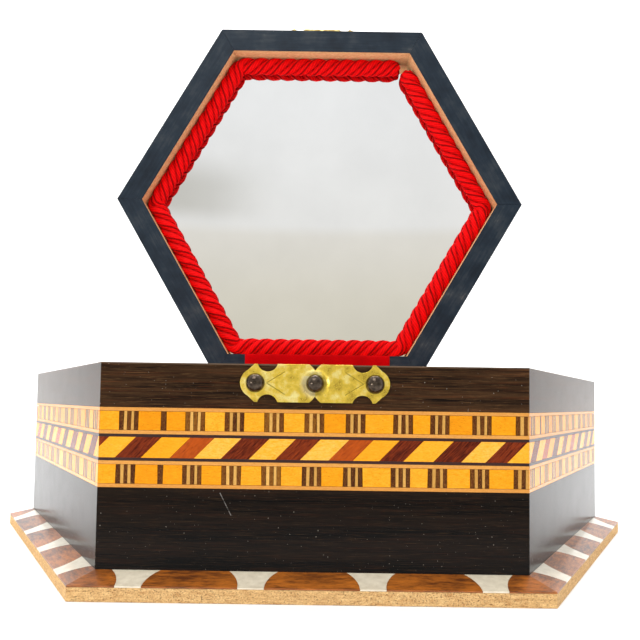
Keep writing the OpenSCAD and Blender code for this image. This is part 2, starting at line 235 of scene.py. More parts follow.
sweep_line = [(SWEEP_NEAR, 0), (SWEEP_FAR - SWEEP_BEND, 0)]
for step in range(1, 13):
    turn = math.radians(90 * step / 12)
    sweep_line.append((
        SWEEP_FAR - SWEEP_BEND + SWEEP_BEND * math.sin(turn),
        SWEEP_BEND * (1 - math.cos(turn)),
    ))
sweep_line.append((SWEEP_FAR, SWEEP_RISE))
sweep_points = [(side * SWEEP_HALF, y, z) for y, z in sweep_line for side in (-1, 1)]
sweep_faces = [(2 * k, 2 * k + 1, 2 * k + 3, 2 * k + 2) for k in range(len(sweep_line) - 1)]
table = link_mesh("table_sweep", sweep_points, sweep_faces, smooth=True)
table_finish = Finish(bpy.data.materials.new("table_paper"))
depth = table_finish.add("ShaderNodeSeparateXYZ", None, {0: table_finish.place()}, out=1)
# Painted shade: the table is grey well in front of the box and white nearer to it and behind it, standing
# in for the dim room in front.
shaded_paper = table_finish.mix(depth.between(-150, -92), (0.42, 0.42, 0.42), (0.92, 0.92, 0.92))
paint(table, table_finish.surface(Base_Color=shaded_paper, Roughness=0.8))

room = Finish(bpy.data.worlds.new("room"))
scene.world = room.owner
heading = room.add("ShaderNodeTexCoord", out="Generated")
aside, toward_back, height = (
    room.add("ShaderNodeSeparateXYZ", None, {0: heading}, out=axis) for axis in range(3)
)
shadow = (1 - aside.between(-0.2, -0.04)) * height.between(0.24, 0.275)
shadow = shadow * (1 - height.between(0.295, 0.345))
front_light = room.ramp(
    height,
    (0.0, (0.62, 0.60, 0.55)),
    (0.05, (0.64, 0.61, 0.54)),
    (0.08, (0.69, 0.65, 0.54)),
    (0.15, (0.74, 0.70, 0.60)),
    (0.235, (0.80, 0.77, 0.71)),
    (0.25, (0.86, 0.85, 0.83)),
    (0.40, (0.90, 0.90, 0.90)),
    (1.0, (1.0, 1.0, 1.0)),
)
shaded = room.mix(shadow * 0.55, front_light, (0.42, 0.40, 0.34))
room_colour = room.mix(toward_back.between(-0.5, -0.1), shaded, (1.45, 1.46, 1.48))
room.add(
    "ShaderNodeOutputWorld", None,
    {0: room.add("ShaderNodeBackground", None, {"Color": room_colour, "Strength": 1.0})},
)


def soft_lamp(name, place, aim, width, power, tint=(1, 1, 1)):
    lamp = bpy.data.lights.new(name, "AREA")
    lamp.shape = "SQUARE"
    lamp.size = width * MM
    lamp.energy = power
    lamp.color = tint
    holder = bpy.data.objects.new(name, lamp)
    holder.location = Vector(place) * MM
    holder.rotation_euler = (Vector(aim) - Vector(place)).to_track_quat("-Z", "Y").to_euler()
    scene.collection.objects.link(holder)


soft_lamp("front_lamp", (-170, -420, 760), (0, 0, 60), 420, 2.8)
soft_lamp("low_lamp", (-330, -400, 6), (0, -20, 50), 140, 0.9)
soft_lamp("back_lamp", (0, 330, 620), (0, 0, 40), 500, 5.0)

# ---- Base board ----
# A hexagonal board of plain light wood, wider than the walls, that the whole box stands on. Its
# top is planed to a shallow bevel outside the walls, and its sawn outer edge is left raw.

APOTHEM = 70 * math.cos(math.radians(30))


def soften(piece, width, segments=2):
    """Takes the sharpness off a CAD piece's edges without touching its mesh."""
    weld = piece.modifiers.new("weld", "WELD")
    weld.merge_threshold = 0.002 * MM
    edge = piece.modifiers.new("soft_edge", "BEVEL")
    edge.width = width * MM
    edge.segments = segments
    edge.limit_method = "ANGLE"
    edge.angle_limit = math.radians(25)
    edge.harden_normals = True


def raw_wood(name, light, dark, grain=(0.7, 0.7, 3)):
    """Sawn wood: a fuzzy, granular surface with open pores and short dark flecks."""
    f = Finish(bpy.data.materials.new(name))
    fibre = f.noise(f.place(grain), 0.9, 4, 0.65)
    crumbs = f.noise(f.place((1, 1, 1.4)), 3.6, 4, 0.75)
    pores = f.noise(f.place((1.3, 1.3, 2.2)), 2.3, 3, 0.7).between(0.56, 0.68)
    body = f.ramp(fibre * 0.45 + crumbs * 0.55, (0.36, dark), (0.64, light))
    pored = f.mix(pores * 0.7, body, colour(126, 84, 44))
    relief = fibre * 0.3 + (crumbs * 0.7 - pores * 0.6)
    return f.surface(Base_Color=pored, Roughness=0.88, Normal=f.bump(relief, 0.3))


base_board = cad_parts["base_board"]
soften(base_board, 0.15)
paint(base_board, raw_wood("sawn_board", colour(248, 210, 146), colour(186, 132, 74)))

# ---- Base border ----
# A strip of thin veneer glued on the bevel and lacquered: brown half discs stand along the outer
# edge, one on each corner and three between, and cast mother-of-pearl resin fills the spaces.


def lacquered_wood(name, light, dark, grain, coat=0.5):
    """Smooth wood under lacquer. grain stretches the figure: a small number runs along the fibre."""
    f = Finish(bpy.data.materials.new(name))
    lines = f.noise(f.place(grain), 1.1, 5, 0.7)
    cloud = f.noise(f.place(), 0.16, 2)
    flecks = f.noise(f.place(tuple(g * 1.7 for g in grain)), 1.6, 3, 0.6).between(0.55, 0.7)
    body = f.ramp(lines * 0.65 + cloud * 0.35, (0.38, dark), (0.62, light))
    flecked = f.mix(flecks * 0.6, body, tuple(c * 0.45 for c in dark))
    return f.surface(
        Base_Color=flecked, Roughness=0.4, Specular_IOR_Level=0.2, Coat_Weight=coat,
        Coat_Roughness=0.14, Normal=f.bump(lines, 0.03),
    )


def pearl(name):
    """Cast resin that imitates mother-of-pearl: milky, with faint drifting clouds."""
    f = Finish(bpy.data.materials.new(name))
    drift = f.noise(f.place((1, 1, 2)), 0.7, 3, 0.55)
    vein = f.noise(f.place(), 1.9, 4, 0.6).between(0.56, 0.7)
    body = f.ramp(drift, (0.3, colour(204, 192, 168)), (0.7, colour(226, 216, 194)))
    veined = f.mix(vein * 0.22, body, colour(186, 172, 146))
    return f.surface(
        Base_Color=veined, Roughness=0.28, Coat_Weight=0.8, Coat_Roughness=0.1,
        Normal=f.bump(drift, 0.03),
    )


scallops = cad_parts["base_scallops"]
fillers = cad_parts["base_pearl_fillers"]
scallop_wood = lacquered_wood(
    "scallop_walnut", colour(178, 102, 34), colour(84, 42, 16), (0.3, 0.3, 5), coat=0.45,
)
pearl_resin = pearl("pearl_resin")
paint(scallops, scallop_wood)
paint(fillers, pearl_resin)

# ---- Walls ----
# Six boards with mitred ends stand on the base. They are veneered in very dark rosewood with the
# grain lying level, sanded flat with the inlay and finished in clear lacquer.

WALLS = (
    "wall_front", "wall_front_right", "wall_rear_right",
    "wall_rear", "wall_rear_left", "wall_front_left",
)
RIM_Z = 37.3
BROWNER_REACH = 17
SCRATCH_X, SCRATCH_Z = -15.1, 16.2
SCRATCH_LOW, SCRATCH_HIGH = 12.7, 16.3
FRONT_FACE_Y = -60


def rosewood(name, grain, browner_from):
    """Near-black veneer with red-brown streaks and flecks, lighter and browner above the height
    browner_from.
    """
    f = Finish(bpy.data.materials.new(name))
    lines = f.noise(f.place(grain), 1.3, 6, 0.75)
    flecks = f.noise(f.place(tuple(g * 3.2 for g in grain)), 1.5, 4, 0.7).between(0.54, 0.7)
    broad = f.noise(f.place(tuple(g * 0.5 for g in grain)), 0.35, 3)
    streaks = f.noise(f.place(tuple(g * 1.6 for g in grain)), 1.7, 4, 0.6).between(0.52, 0.72)
    level = f.add("ShaderNodeSeparateXYZ", None, {0: f.place()}, out=2)
    # Lighter and browner towards the top of the wall, with more red streaks and flecks there.
    rise = level.between(browner_from, browner_from + BROWNER_REACH) * (level < RIM_Z - 0.05)
    figure = lines * 0.6 + broad * 0.4
    lower_tone = f.ramp(figure, (0.4, colour(4, 3, 2)), (0.62, colour(28, 19, 12)))
    upper_tone = f.ramp(figure, (0.4, colour(14, 8, 5)), (0.62, colour(74, 50, 30)))
    body = f.mix(rise, lower_tone, upper_tone)
    red = f.mix(streaks * (rise * 0.35 + 0.12), body, colour(84, 42, 20))
    flecked = f.mix(flecks * (rise * 0.45 + 0.15), red, colour(112, 82, 52))
    # Painted highlight: a thin pale line just under the rim's top edge, where the edge would catch light.
    rim_highlight = level.between(RIM_Z - 0.3, RIM_Z - 0.12) * (level < RIM_Z - 0.01)
    rim_highlighted = f.mix(rim_highlight * lines.between(0.3, 0.5) * 0.6, flecked, colour(118, 100, 84))
    along, outward = (
        f.add("ShaderNodeSeparateXYZ", None, {0: f.place()}, out=axis) for axis in range(2)
    )
    slant = (along - SCRATCH_X) * 0.89 + (level - SCRATCH_Z) * 0.46
    off_scratch = f.add("ShaderNodeMath", {"operation": "ABSOLUTE"}, {0: slant})
    scratch = (1 - off_scratch.between(0.02, 0.08)) * (level > SCRATCH_LOW) * (level < SCRATCH_HIGH)
    scuffed = scratch * (outward < FRONT_FACE_Y) * lines.between(0.35, 0.55)
    scratched = f.mix(scuffed, rim_highlighted, colour(126, 122, 118))
    dust = f.noise(f.place(), 3.1, 2, 0.4).between(0.72, 0.76)
    dusty = f.mix(dust * 0.6, scratched, colour(170, 160, 146))
    rough = f.noise(f.place(), 0.22, 3) * 0.1 + dust * 0.3 + 0.12
    return f.surface(
        Base_Color=dusty, Roughness=rough, IOR=1.18,
        Normal=f.bump(lines * 0.7 + dust * 0.6, 0.012),
    )


wall_veneer = rosewood("wall_rosewood", (0.045, 0.045, 1.6), 14.6)
for name in WALLS:
    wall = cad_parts[name]
    soften(wall, 0.14)
    paint(wall, wall_veneer)

# ---- Inlay band ----
# A pre-made banding let into a shallow groove round the walls: two ladder strips of amber blocks
# and dark bars between pale lines, and a strip of slanting amber and red-brown pieces between
# them, set off by two ebony strings. Every small piece is its own bit of veneer.

GROOVE = 0.72
SIDE_HALF = 35.0
BAND_TOP = RIM_Z - 7.35
LADDER_H, STRING_H, TWIST_H = 4.35, 0.45, 3.4
LINE_H = 0.62
GLUE = 0.025
UPPER_Z = BAND_TOP - LADDER_H
TWIST_Z = UPPER_Z - STRING_H - TWIST_H
LOWER_Z = TWIST_Z - STRING_H - LADDER_H
BLOCK_WIDTHS = (3.2, 3.65, 3.1, 3.25, 3.3, 3.4, 3.55, 4.6, 2.85, 3.7, 3.95)
SINGLE_BAR_AFTER = 1
SINGLE_BAR = 0.9
BARS = (("dark", 0.75), ("light", 0.55), ("dark", 0.65), ("light", 0.5), ("dark", 0.7))
TWIST_LIGHT = (4.35, 4.7, 4.4, 4.3, 4.7, 4.3, 4.9, 4.0, 4.4)
TWIST_DARK = (4.15, 3.9, 4.55, 4.0, 3.9, 3.9, 4.5, 3.5)
TWIST_WARM = (1, 4)
TWIST_LEAN = 3.3

dice = random.Random(7)
cells = {"amber_blocks": [], "dark_bars": [], "light_bars": [], "pale_lines": [],
         "twist_amber": [], "twist_brown": []}


def clipped(outline, low, high):
    """A flat outline of (along, height) points cut off at both ends of the wall."""
    for limit, keep in ((low, 1), (high, -1)):
        cut = []
        for (u1, z1), (u2, z2) in zip(outline, outline[1:] + outline[:1]):
            in1, in2 = keep * (u1 - limit) >= 0, keep * (u2 - limit) >= 0
            if in1:
                cut.append((u1, z1))
            if in1 != in2:
                share = (limit - u1) / (u2 - u1)
                cut.append((limit, z1 + share * (z2 - z1)))
        outline = cut
        if not outline:
            return outline
    return outline


def lay(kind, wall, outline, tone):
    """Keeps a bit of veneer for one wall if any of it lies between the wall's mitres."""
    edge = SIDE_HALF - 0.06
    outline = clipped(outline, -edge, edge)
    if len(outline) > 2 and max(u for u, z in outline) - min(u for u, z in outline) > 0.12:
        cells[kind].append((wall, outline, tone))


def bit(kind, wall, u1, u2, z1, z2, tone):
    wander = [dice.uniform(-0.04, 0.04) for _ in range(4)]
    lay(kind, wall, [
        (u1 + GLUE + wander[0], z1 + GLUE), (u2 - GLUE + wander[1], z1 + GLUE),
        (u2 - GLUE + wander[2], z2 - GLUE), (u1 + GLUE + wander[3], z2 - GLUE),
    ], tone)


def ladder(wall, z, start):
    """One ladder strip along a wall, its stock length repeating from start."""
    for line_z in (z, z + LADDER_H - LINE_H):
        cells["pale_lines"].append((
            wall,
            clipped([
                (-40, line_z + GLUE), (40, line_z + GLUE),
                (40, line_z + LINE_H - GLUE), (-40, line_z + LINE_H - GLUE),
            ], -SIDE_HALF + 0.06, SIDE_HALF - 0.06),
            dice.random(),
        ))
    low, high = z + LINE_H, z + LADDER_H - LINE_H
    u, index = start, 0
    while u < SIDE_HALF:
        width = BLOCK_WIDTHS[index % len(BLOCK_WIDTHS)]
        bit("amber_blocks", wall, u, u + width, low, high, dice.random())
        u += width
        mood = dice.choice((0.1, 0.25, 0.6, 0.8))
        if index % len(BLOCK_WIDTHS) == SINGLE_BAR_AFTER:
            bit("dark_bars", wall, u, u + SINGLE_BAR, low, high, 0.15)
            u += SINGLE_BAR
        else:
            for shade, wide in BARS:
                tone = min(1, max(0, mood + dice.uniform(-0.2, 0.2)))
                bit(shade + "_bars", wall, u, u + wide, low, high, tone)
                u += wide
        index += 1


def twist(wall, start):
    """The strip of slanting pieces along a wall."""
    u, index = start, 0
    low, high = TWIST_Z + GLUE, TWIST_Z + TWIST_H - GLUE
    half = TWIST_LEAN / 2
    lay("twist_brown", wall, [
        (u - 4 - half, low), (u - GLUE - half, low), (u - GLUE + half, high), (u - 4 + half, high),
    ], 0.3)
    while u < SIDE_HALF + TWIST_LEAN:
        light = TWIST_LIGHT[index % len(TWIST_LIGHT)]
        dark = TWIST_DARK[index % len(TWIST_DARK)]
        warm = 1.0 if index % len(TWIST_DARK) in TWIST_WARM else dice.uniform(0, 0.3)
        for kind, begin, wide, tone in (
            ("twist_amber", u, light, dice.random()), ("twist_brown", u + light, dark, warm),
        ):
            left, far = begin + GLUE, begin + wide - GLUE
            lay(kind, wall, [
                (left - half, low), (far - half, low), (far + half, high), (left + half, high),
            ], tone)
        u += light + dark
        index += 1


for wall in range(6):
    slide = 0 if wall == 0 else dice.uniform(-9, 0)
    ladder(wall, UPPER_Z, -SIDE_HALF + slide)
    ladder(wall, LOWER_Z, -SIDE_HALF + slide - 0.35)
    twist(wall, -SIDE_HALF + slide)


def inlay_piece(name, bits):
    """All bits of one kind as one mesh; each keeps its own tone in a colour attribute."""
    verts, faces, tones = [], [], []
    for wall, outline, tone in bits:
        turn = math.radians(60 * wall)
        first, count = len(verts), len(outline)
        for depth in (0, GROOVE):
            for u, z in outline:
                x = u * math.cos(turn) - (depth - APOTHEM) * math.sin(turn)
                y = u * math.sin(turn) + (depth - APOTHEM) * math.cos(turn)
                verts.append((x, y, z))
        faces.append(tuple(range(first, first + count)))
        faces.append(tuple(range(first + 2 * count - 1, first + count - 1, -1)))
        for k in range(count):
            n = (k + 1) % count
            faces.append((first + n, first + k, first + count + k, first + count + n))
        tones += [tone] * (2 * count)
    piece = link_mesh(name, verts, faces)
    shade = piece.data.color_attributes.new("tone", "FLOAT_COLOR", "POINT")
    for k, tone in enumerate(tones):
        shade.data[k].color = (tone, tone, tone, 1)
    return piece


def banding(name, stops, grain, lean=0.0, fleck=None):
    """Small veneer bits: the bit's own tone, then fine figure and flecks, under lacquer."""
    f = Finish(bpy.data.materials.new(name))
    tone = f.add("ShaderNodeAttribute", {"attribute_name": "tone"}, out="Fac")
    spot = f.place(grain)
    if lean:
        leaned = f.add(
            "ShaderNodeVectorRotate", {"rotation_type": "Y_AXIS"},
            {"Vector": f.place(), "Angle": lean},
        )
        spot = f.add("ShaderNodeVectorMath", {"operation": "MULTIPLY"}, {0: leaned, 1: grain})
    figure = f.noise(spot, 2.2, 4, 0.7)
    body = f.ramp(tone * 0.6 + (figure - 0.5) * 1.1 + 0.2, *stops)
    freckle = f.noise(spot, 5.5, 3, 0.6).between(0.5, 0.72)
    speckled = f.mix(freckle * 0.7, body, fleck or tuple(c * 0.72 for c in stops[0][1]))
    return f.surface(
        Base_Color=speckled, Roughness=0.2, IOR=1.2, Normal=f.bump(figure, 0.015),
    )


amber_stops = ((0.05, colour(214, 130, 12)), (0.5, colour(232, 150, 22)), (1.0, colour(242, 170, 50)))
inlay_looks = {
    "amber_blocks": ("amber_wood", ("ladder_strips_upper", "ladder_strips_lower"),
                     banding("amber_veneer", amber_stops, (0.5, 0.5, 1.5))),
    "dark_bars": ("amber_wood", ("ladder_strips_upper", "ladder_strips_lower"),
                  banding("dark_bar_veneer", (
                      (0.1, colour(56, 22, 10)), (0.5, colour(96, 52, 16)),
                      (1.0, colour(150, 98, 30))), (2, 2, 0.8), fleck=colour(158, 108, 44))),
    "light_bars": ("amber_wood", ("ladder_strips_upper", "ladder_strips_lower"),
                   banding("light_bar_veneer", (
                       (0.0, colour(180, 130, 60)), (1.0, colour(228, 178, 98))),
                       (2, 2, 0.8))),
    "pale_lines": ("amber_wood", ("ladder_strips_upper", "ladder_strips_lower"),
                   banding("pale_line_veneer", (
                       (0.0, colour(198, 132, 58)), (1.0, colour(228, 168, 92))),
                       (0.5, 0.5, 3))),
    "twist_amber": ("amber_wood", ("twist_strips",),
                    banding("twist_amber_veneer", (
                        (0.0, colour(232, 148, 20)), (0.6, colour(240, 164, 42)),
                        (1.0, colour(244, 184, 88))), (0.5, 0.5, 1.5))),
    "twist_brown": ("twist_wood", ("twist_strips",),
                    banding("twist_brown_veneer", (
                        (0.08, colour(48, 12, 6)), (0.36, colour(118, 44, 18)),
                        (0.9, colour(178, 78, 20))), (0.25, 0.25, 3), lean=math.radians(45))),
}
for kind, (slot, nodes, material) in inlay_looks.items():
    piece = inlay_piece(kind, cells[kind])
    paint(piece, material)
    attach(piece, "box")
    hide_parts(*nodes)

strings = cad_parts["ebony_strings"]
string_ebony = lacquered_wood(
    "string_ebony", colour(58, 20, 12), colour(24, 8, 6), (0.3, 0.3, 6), coat=0.35,
)
paint(strings, string_ebony)

# ---- Floor pad and wall lining ----
# Red velvet over thin card lines the inside: one pad on the floor with a soft rounded edge, and
# six slightly padded panels against the walls. All are glued in.

INNER = APOTHEM - 7.4
PAD_Z, PAD_T = 3.8, 2.0
LINING_T, LINING_TOP = 1.2, RIM_Z - 1.2


def velvet(name, scale=1.0):
    """Short upright pile: a soft sheen, patches brushed both ways, and a fine grain."""
    f = Finish(bpy.data.materials.new(name))
    brushed = f.noise(f.place(), 0.09 * scale, 3, 0.55)
    pile = f.noise(f.place(), 4.2, 3, 0.7)
    body = f.ramp(
        brushed * 0.6 + pile * 0.4,
        (0.3, colour(146, 0, 3)), (0.55, colour(196, 0, 6)), (0.75, colour(218, 4, 10)),
    )
    return f.surface(
        Base_Color=body, Roughness=0.9, Specular_IOR_Level=0.05, Sheen_Weight=0.12,
        Sheen_Roughness=0.4, Sheen_Tint=(1.0, 0.08, 0.08, 1), Normal=f.bump(pile, 0.10),
    )


red_velvet = velvet("red_velvet")


def hexagon_ring(apothem, z):
    corner = apothem / math.cos(math.radians(30))
    return [
        (corner * math.cos(math.radians(60 * k)), corner * math.sin(math.radians(60 * k)), z)
        for k in range(6)
    ]


def finer(ring, parts):
    """The ring with each straight side cut into equal parts."""
    points = []
    for start, end in zip(ring, ring[1:] + ring[:1]):
        points += [
            tuple(a + (b - a) * k / parts for a, b in zip(start, end)) for k in range(parts)
        ]
    return points


def lofted(rings, close_ends=True):
    """Faces that join rings of equal length, with flat caps."""
    count = len(rings[0])
    verts = [p for ring in rings for p in ring]
    faces = []
    for r in range(len(rings) - 1):
        for k in range(count):
            n = (k + 1) % count
            faces.append((
                r * count + k, r * count + n, (r + 1) * count + n, (r + 1) * count + k,
            ))
    if close_ends:
        faces.append(tuple(range(count - 1, -1, -1)))
        faces.append(tuple((len(rings) - 1) * count + k for k in range(count)))
    return verts, faces


pad_reach = INNER - 0.15
pad_rings = [
    finer(hexagon_ring(pad_reach - inset, PAD_Z + rise), 14)
    for inset, rise in ((0.3, 0.05), (0.05, 0.4), (0, 1.0), (0.25, 1.5), (0.9, 1.8))
]
for share in (0.93, 0.8, 0.6, 0.4, 0.2, 0.02):
    pad_rings.append(finer(hexagon_ring((pad_reach - 0.9) * share, PAD_Z + 1.8 + 0.15 * (1 - share)), 14))
pad = link_mesh("velvet_floor_pad", *lofted(pad_rings), smooth=True)
for vert in pad.data.vertices:
    if vert.co.z > (PAD_Z + 1.7) * MM:
        wave = math.sin(vert.co.x * 190) * math.cos(vert.co.y * 160 + 1)
        vert.co.z += 0.07 * MM * wave
paint(pad, red_velvet)
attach(pad, "box")
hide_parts("floor_pad")


def lining_panel(side):
    """Rings up one lining panel, rounded over at the top and slightly full in the middle."""
    turn = math.radians(60 * side)
    low, top = PAD_Z + PAD_T, LINING_TOP
    rings = []
    for share in [0] + [k / 10 for k in range(1, 10)] + [0.97, 1]:
        z = low + (top - low) * share
        thick = LINING_T * (1 if share < 0.97 else (0.8 if share < 1 else 0.45))
        back = 0 if share < 1 else 0.12
        ring = []
        half_back = INNER * math.tan(math.radians(30)) - 0.05
        half_front = (INNER - LINING_T) * math.tan(math.radians(30)) - 0.05
        for k in range(13):
            across = -1 + 2 * k / 12
            full = 0.12 * (1 - across ** 4) * math.sin(math.pi * min(1, max(0, share)))
            ring.append((across * half_front, -INNER + thick - 0.1 + full))
        for k in range(12, -1, -1):
            ring.append(((-1 + 2 * k / 12) * half_back, -INNER + 0.02 + back))
        rings.append([
            (x * math.cos(turn) - y * math.sin(turn), x * math.sin(turn) + y * math.cos(turn), z)
            for x, y in ring
        ])
    return lofted(rings)


lining_verts, lining_faces = [], []
for side in range(6):
    panel_verts, panel_faces = lining_panel(side)
    shift = len(lining_verts)
    lining_verts += panel_verts
    lining_faces += [tuple(i + shift for i in face) for face in panel_faces]
lining = link_mesh("velvet_wall_lining", lining_verts, lining_faces, smooth=True)
paint(lining, red_velvet)
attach(lining, "box")
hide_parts("wall_lining")

# ---- Hinges ----
# Two small butt hinges of pressed brass on the back, outside. Each leaf is nailed with two dome
# nails, and a steel pin is pinched in the body's two knuckles.


def brass(name, light=(0.72, 0.52, 0.12), leaf_middle=None):
    """Pressed sheet brass, dulled and specked, its palest patches painted highlight. A leaf_middle height
    adds the stamped leaf lines and a painted highlight at the left of the stud.
    """
    f = Finish(bpy.data.materials.new(name))
    cloud = f.noise(f.place(), 0.55, 4, 0.6)
    specks = f.noise(f.place(), 4.5, 4, 0.7).between(0.55, 0.68)
    # The darker stops are the brass's dulled tone; the palest stop is painted highlight, in random
    # patches.
    body = f.ramp(
        cloud, (0.32, tuple(c * 0.66 for c in light)), (0.52, light), (0.7, (0.97, 0.84, 0.34)),
    )
    spotted = f.mix(specks * 0.6, body, tuple(c * 0.35 for c in light))
    relief = cloud + specks * 0.4
    if leaf_middle:
        across, level = (f.add("ShaderNodeSeparateXYZ", None, {0: f.place()}, out=k) for k in (0, 2))
        side = f.add("ShaderNodeMath", {"operation": "ABSOLUTE"}, {0: across})
        rise = f.add("ShaderNodeMath", {"operation": "ABSOLUTE"}, {0: level - leaf_middle})
        off_line = f.add("ShaderNodeMath", {"operation": "ABSOLUTE"}, {0: rise - (7.9 - side) * 0.62})
        leaf_line = (1 - off_line.between(0.06, 0.16)) * (side > 4.9) * (side < 7.9)
        round_stud = (across * across + (level - leaf_middle) * (level - leaf_middle)) ** 0.5
        # Painted highlight: a near-white patch on the leaf at the lower left of the stud, where the
        # stud's bulge would catch light.
        ring = (1 - round_stud.between(1.7, 2.9)) * (level < leaf_middle + 1.2)
        spotted = f.mix(leaf_line * 0.75, spotted, tuple(c * 0.4 for c in light))
        spotted = f.mix(ring * 0.3 * (across < 0), spotted, (1.0, 0.97, 0.85))
        relief = relief - leaf_line * 1.5 - (1 - round_stud.between(1.4, 2.6)) * 6
    return f.surface(
        Base_Color=spotted, Metallic=1.0, Roughness=cloud * 0.2 + (specks * 0.25 + 0.2),
        Normal=f.bump(relief, 0.05),
    )


def dark_steel(name):
    """Blackened steel with a little wear in patches."""
    f = Finish(bpy.data.materials.new(name))
    cloud = f.noise(f.place(), 1.6, 4, 0.6)
    body = f.ramp(cloud, (0.3, colour(44, 36, 30)), (0.75, colour(92, 80, 68)))
    return f.surface(
        Base_Color=body, Metallic=0.9, Roughness=cloud * 0.15 + 0.12, Normal=f.bump(cloud, 0.02)
    )


hinge_brass = brass("hinge_brass")
nail_steel = dark_steel("nail_steel")
for name in (
    "hinge_leaf_box_left", "hinge_leaf_box_right", "hinge_leaf_lid_left", "hinge_leaf_lid_right",
):
    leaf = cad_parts[name]
    paint(leaf, hinge_brass)
    soften(leaf, 0.08)
for name in ("hinge_nails_box", "hinge_nails_lid"):
    paint(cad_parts[name], hinge_brass)
paint(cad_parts["hinge_pins"], nail_steel)

# ---- Latch ----
# A stamped brass plate with two leaf lobes is nailed to the front, flush with the rim, and a dome
# stud is riveted through it. The lid carries the same plate, with ears that hold the hasp's pin.

# Painted shade: the lid's catch plate and the hasp get a much darker brass than the keeper plate.
shade_darkened = brass("tarnished_brass", (0.42, 0.30, 0.09))
for name, material in (
    ("keeper_plate", brass("plate_brass", (0.84, 0.60, 0.08), RIM_Z - 3.1)),
    ("catch_plate", shade_darkened), ("hasp", shade_darkened),
):
    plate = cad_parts[name]
    paint(plate, material)
    soften(plate, 0.07)
paint(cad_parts["keeper_stud"], nail_steel)
paint(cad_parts["keeper_nails"], nail_steel)
paint(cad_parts["catch_nails"], nail_steel)
paint(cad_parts["hasp_pin"], nail_steel)

# ---- Lid frame ----
# Six mitred rails, the same dark veneer outside with a softer, satin finish on the rim, and bare
# light wood inside the mirror recess. The open lid stands upright behind the body.

LID_MIDDLE_Z = 100.42
LID_RIM_Y = 61.92
RAILS = (
    "lid_rail_front", "lid_rail_front_right", "lid_rail_rear_right",
    "lid_rail_rear", "lid_rail_rear_left", "lid_rail_front_left",
)


def rail_finish(name, along):
    """Satin blue-black on every outside face, the blue being painted reflection of a cool room; bare wood
    where a face looks into the recess.
    """
    f = Finish(bpy.data.materials.new(name))
    spot = f.place()
    lengthways = f.add("ShaderNodeVectorMath", {"operation": "DOT_PRODUCT"}, {0: spot, 1: along}, out=1)
    drawn = f.add(
        "ShaderNodeVectorMath", {"operation": "SCALE"}, {0: along, "Scale": lengthways * -0.93}
    )
    figured = f.add("ShaderNodeVectorMath", {"operation": "ADD"}, {0: spot, 1: drawn})
    lines = f.noise(figured, 1.1, 5, 0.65)
    smudge = f.noise(spot, 0.11, 4, 0.6)
    # The blue in these stops is painted reflection of a cool room on the dark finish; the palest stop
    # gives the lighter smudges.
    body = f.ramp(
        lines * 0.35 + smudge * 0.65,
        (0.34, colour(12, 22, 33)), (0.5, colour(24, 37, 49)), (0.62, colour(44, 52, 59)),
        (0.74, colour(92, 90, 88)),
    )
    middle = f.add(
        "ShaderNodeVectorMath", {"operation": "SUBTRACT"}, {0: spot, 1: (0, 0, LID_MIDDLE_Z)}
    )
    flat = f.add("ShaderNodeVectorMath", {"operation": "MULTIPLY"}, {0: middle, 1: (1, 0, 1)})
    facing = f.add("ShaderNodeTexCoord", out="Normal")
    inward = f.add("ShaderNodeVectorMath", {"operation": "DOT_PRODUCT"}, {0: facing, 1: flat}, out=1)
    depth = f.add("ShaderNodeSeparateXYZ", None, {0: spot}, out=1)
    raw = (inward < -20) * (depth > LID_RIM_Y + 0.25)
    fibre = f.noise(f.place((1, 5, 1)), 0.9, 4, 0.6)
    bare = f.ramp(fibre, (0.3, colour(206, 156, 100)), (0.7, colour(246, 210, 156)))
    return f.surface(
        Base_Color=f.mix(raw, body, bare), Roughness=raw * 0.4 + (smudge * 0.25 + 0.3), IOR=1.3,
        Normal=f.bump(lines, 0.02),
    )


rail_finishes = []
for index in range(3):
    turn = math.radians(60 * index)
    rail_finishes.append(
        rail_finish(f"rail_veneer_{index}", (math.cos(turn), 0, -math.sin(turn)))
    )
for index, name in enumerate(RAILS):
    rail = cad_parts[name]
    paint(rail, rail_finishes[index % 3])
    soften(rail, 0.12, 2)

# ---- Lid panel, backing and mirror ----
# A thin light board is let into the rails from above. Under it a card, then a hexagonal mirror of
# 2 mm glass, pressed up into the recess and held by the cord that is glued round its edge.

paint(
    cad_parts["lid_panel"],
    raw_wood("lid_board", colour(214, 170, 112), colour(176, 128, 78), (0.3, 5, 0.3)),
)


def card(name):
    f = Finish(bpy.data.materials.new(name))
    fibre = f.noise(f.place(), 1.4, 4, 0.7)
    body = f.ramp(fibre, (0.3, colour(140, 118, 92)), (0.7, colour(172, 150, 120)))
    return f.surface(Base_Color=body, Roughness=0.9, Normal=f.bump(fibre, 0.05))


def mirror_silver(name):
    """Silvered glass: a clean reflection with the faintest haze of dust."""
    f = Finish(bpy.data.materials.new(name))
    haze = f.noise(f.place(), 0.05, 3)
    body = f.ramp(haze, (0.3, (0.87, 0.88, 0.88)), (0.7, (0.92, 0.93, 0.93)))
    return f.surface(Base_Color=body, Metallic=1.0, Roughness=haze * 0.02 + 0.015)


paint(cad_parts["mirror_backing"], card("backing_card"))
paint(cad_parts["mirror_glass"], mirror_silver("mirror_silver"))

# ---- Mirror cord ----
# A three-strand twisted cord of red rayon is glued into the angle between mirror and recess, and
# hides the mirror's edge. Its two cut ends stop a little short of each other at one corner.

CORD_R, STRAND_R = 2.75, 1.4
CORD_WIDER, CORD_FLATTER = 1.13, 0.74
STRAND_OUT = CORD_R - STRAND_R
LAY = 15.3
CORD_PATH = INNER - 2.92
CORD_BEND = 2.6
MIRROR_Y = 61.92 + 10.8 - 3.0
CORD_Y = MIRROR_Y - 2.0
CORD_END_CUT = 0.2
RING_STEP = 0.55
STRAND_SIDES = 12

cord_run = (CORD_PATH - CORD_BEND) * math.tan(math.radians(30))
corner_out = (CORD_PATH - CORD_BEND) / math.cos(math.radians(30))


